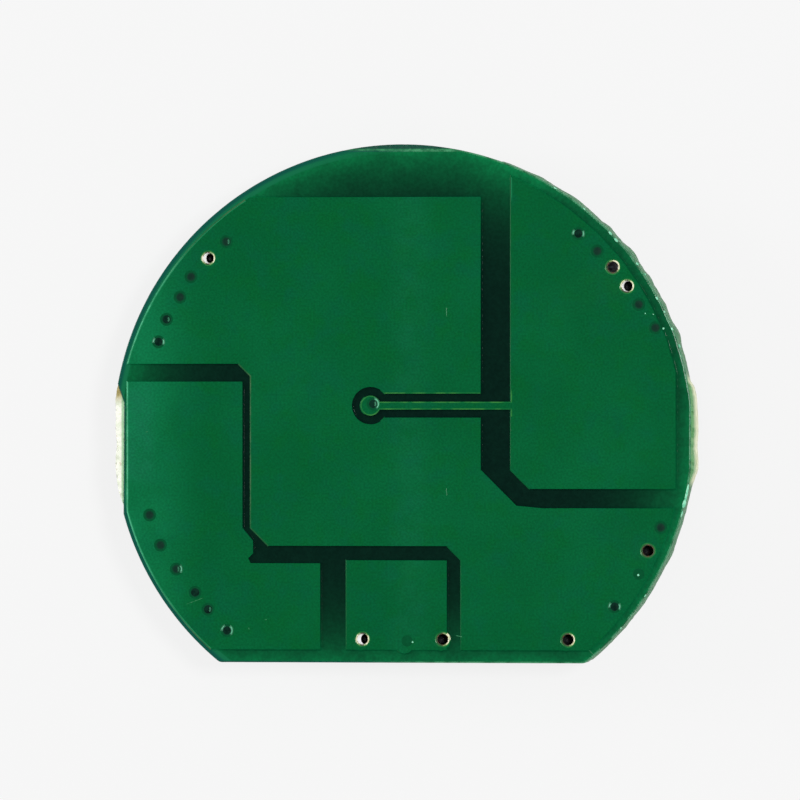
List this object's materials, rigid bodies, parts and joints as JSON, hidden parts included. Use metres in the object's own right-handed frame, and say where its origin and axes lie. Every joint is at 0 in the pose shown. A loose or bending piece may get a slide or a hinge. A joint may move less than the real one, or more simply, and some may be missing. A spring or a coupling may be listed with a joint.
{
  "type": "battery protection board",
  "caption": "Round printed circuit board with one straight edge for the end of a lithium cell, with its soldered parts underneath.",
  "frame": {"origin": "centre of the round outline on the finished track side", "axes": "+X to the right of the track side, +Y to its round top edge, +Z out of it"},
  "size_m": [0.026, 0.0231, 0.0032],
  "materials": {
    "laminate": "broken glass-fibre laminate, pale yellow",
    "solder_mask": "glossy green solder mask",
    "copper": "plain copper foil",
    "plated_barrel": "tinned copper plating",
    "mask_resin": "dark green cured resin",
    "solder": "bright smooth solder",
    "tinned_lead": "satin tin plate",
    "tinned_cap": "satin tin plate",
    "resistor_ceramic": "black glazed film on white ceramic",
    "capacitor_ceramic": "tan fired ceramic",
    "package": "fine matt moulding compound"
  },
  "bodies": {
    "root": {"capacitor_1_body": "capacitor_ceramic", "capacitor_1_caps": "tinned_cap", "capacitor_2_body": "capacitor_ceramic", "capacitor_2_caps": "tinned_cap", "cell_negative_barrels": "plated_barrel", "cell_negative_land": "copper", "cell_negative_pour": "copper", "cell_negative_solder_coat": "solder", "cell_positive_land": "copper", "cell_positive_solder_coat": "solder", "chip_solder_joints": "solder", "laminate": "laminate", "lower_drain_land": "copper", "lower_left_transistor_body": "package", "lower_left_transistor_leads": "tinned_lead", "lower_right_transistor_body": "package", "lower_right_transistor_leads": "tinned_lead", "mid_tap_barrels": "plated_barrel", "mid_tap_land": "copper", "mid_tap_pour": "copper", "mid_tap_solder_coat": "solder", "pack_negative_barrels": "plated_barrel", "pack_negative_land": "copper", "pack_negative_pour": "copper", "pack_negative_solder_coat": "solder", "pack_positive_land": "copper", "pack_positive_solder_coat": "solder", "part_side_mask": "solder_mask", "passive_solder_joints": "solder", "positive_barrels": "plated_barrel", "positive_pour": "copper", "protection_chip_body": "package", "protection_chip_leads": "tinned_lead", "resistor_1_body": "resistor_ceramic", "resistor_1_caps": "tinned_cap", "resistor_2_body": "resistor_ceramic", "resistor_2_caps": "tinned_cap", "resistor_3_body": "resistor_ceramic", "resistor_3_caps": "tinned_cap", "sense_barrel": "plated_barrel", "signal_tracks": "copper", "track_side_mask": "solder_mask", "transistor_solder_joints": "solder", "upper_drain_land": "copper", "upper_left_transistor_body": "package", "upper_left_transistor_leads": "tinned_lead", "upper_right_transistor_body": "package", "upper_right_transistor_leads": "tinned_lead", "via_plugs": "mask_resin"}
  },
  "joints": []
}
